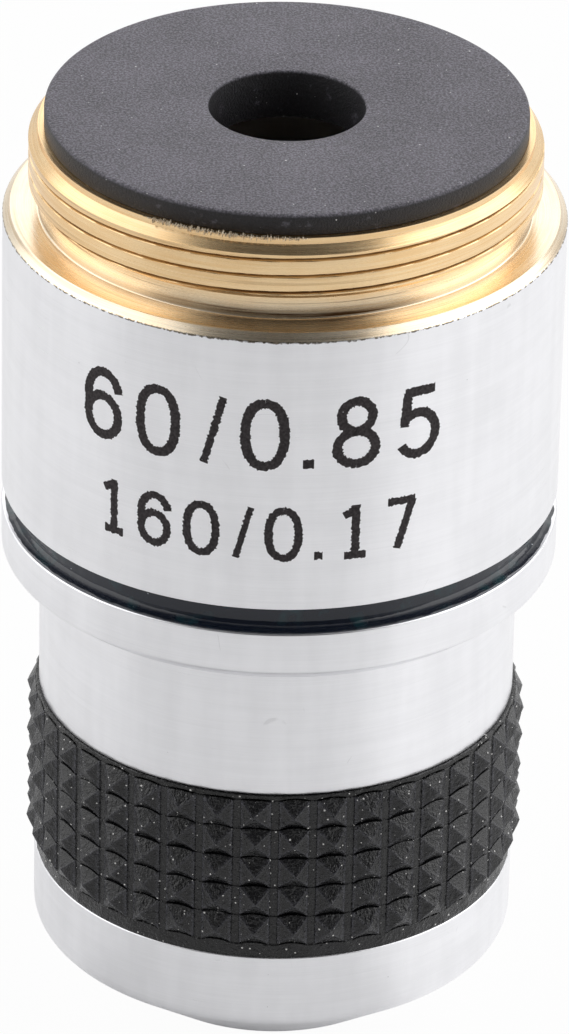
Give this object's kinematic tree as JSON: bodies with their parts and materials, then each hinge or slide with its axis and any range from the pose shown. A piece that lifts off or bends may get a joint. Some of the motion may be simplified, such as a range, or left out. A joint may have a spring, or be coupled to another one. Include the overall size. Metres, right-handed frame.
{
  "type": "microscope objective",
  "caption": "Retractable high-power microscope objective: plated housing with bare mounting thread, sprung front barrel with rubber grip, and a stack of lens cells.",
  "frame": {"origin": "centre of the mounting shoulder, on the optical axis", "axes": "+Z along the optical axis from the nose towards the mounting thread; X and Y across it, the guide pin on +Y"},
  "size_m": [0.0222, 0.0222, 0.0391],
  "materials": {
    "chrome": "satin plated, turned",
    "brass": "bare, turned",
    "cell_brass": "blackened",
    "cap_plastic": "matt, fine grained",
    "enamel": "gloss",
    "grip_rubber": "matt, moulded",
    "spring_steel": "drawn wire",
    "black_aluminium": "black anodised",
    "lens_glass": "polished, coated"
  },
  "bodies": {
    "housing": {"housing": "chrome", "end_collar": "chrome", "colour_band": "enamel", "rear_cap": "cap_plastic", "return_spring": "spring_steel"},
    "front_unit": {"front_sleeve": "chrome", "grip_ring": "grip_rubber", "guide_pin": "spring_steel", "stop_ring": "brass", "parfocal_shim": "brass", "lens_barrel": "cell_brass", "clamp_ring": "brass", "front_cell": "chrome", "front_lens": "lens_glass", "meniscus_cell": "cell_brass", "meniscus_lens": "lens_glass", "meniscus_retainer": "black_aluminium", "meniscus_spacer": "black_aluminium", "middle_cell": "cell_brass", "middle_flint": "lens_glass", "middle_crown": "lens_glass", "middle_retainer": "black_aluminium", "middle_spacer": "black_aluminium", "rear_cell": "cell_brass", "rear_flint": "lens_glass", "rear_crown": "lens_glass", "rear_retainer": "black_aluminium", "aperture_stop": "black_aluminium", "lock_ring": "brass"}
  },
  "joints": [
    {"name": "front_retract", "type": "slide", "parent": "housing", "child": "front_unit", "axis": [0, 0, 1], "range_m": [0, 0.003], "stiffness_N_per_m": 350, "springref_m": -0.006, "deforming": ["return_spring"]}
  ]
}
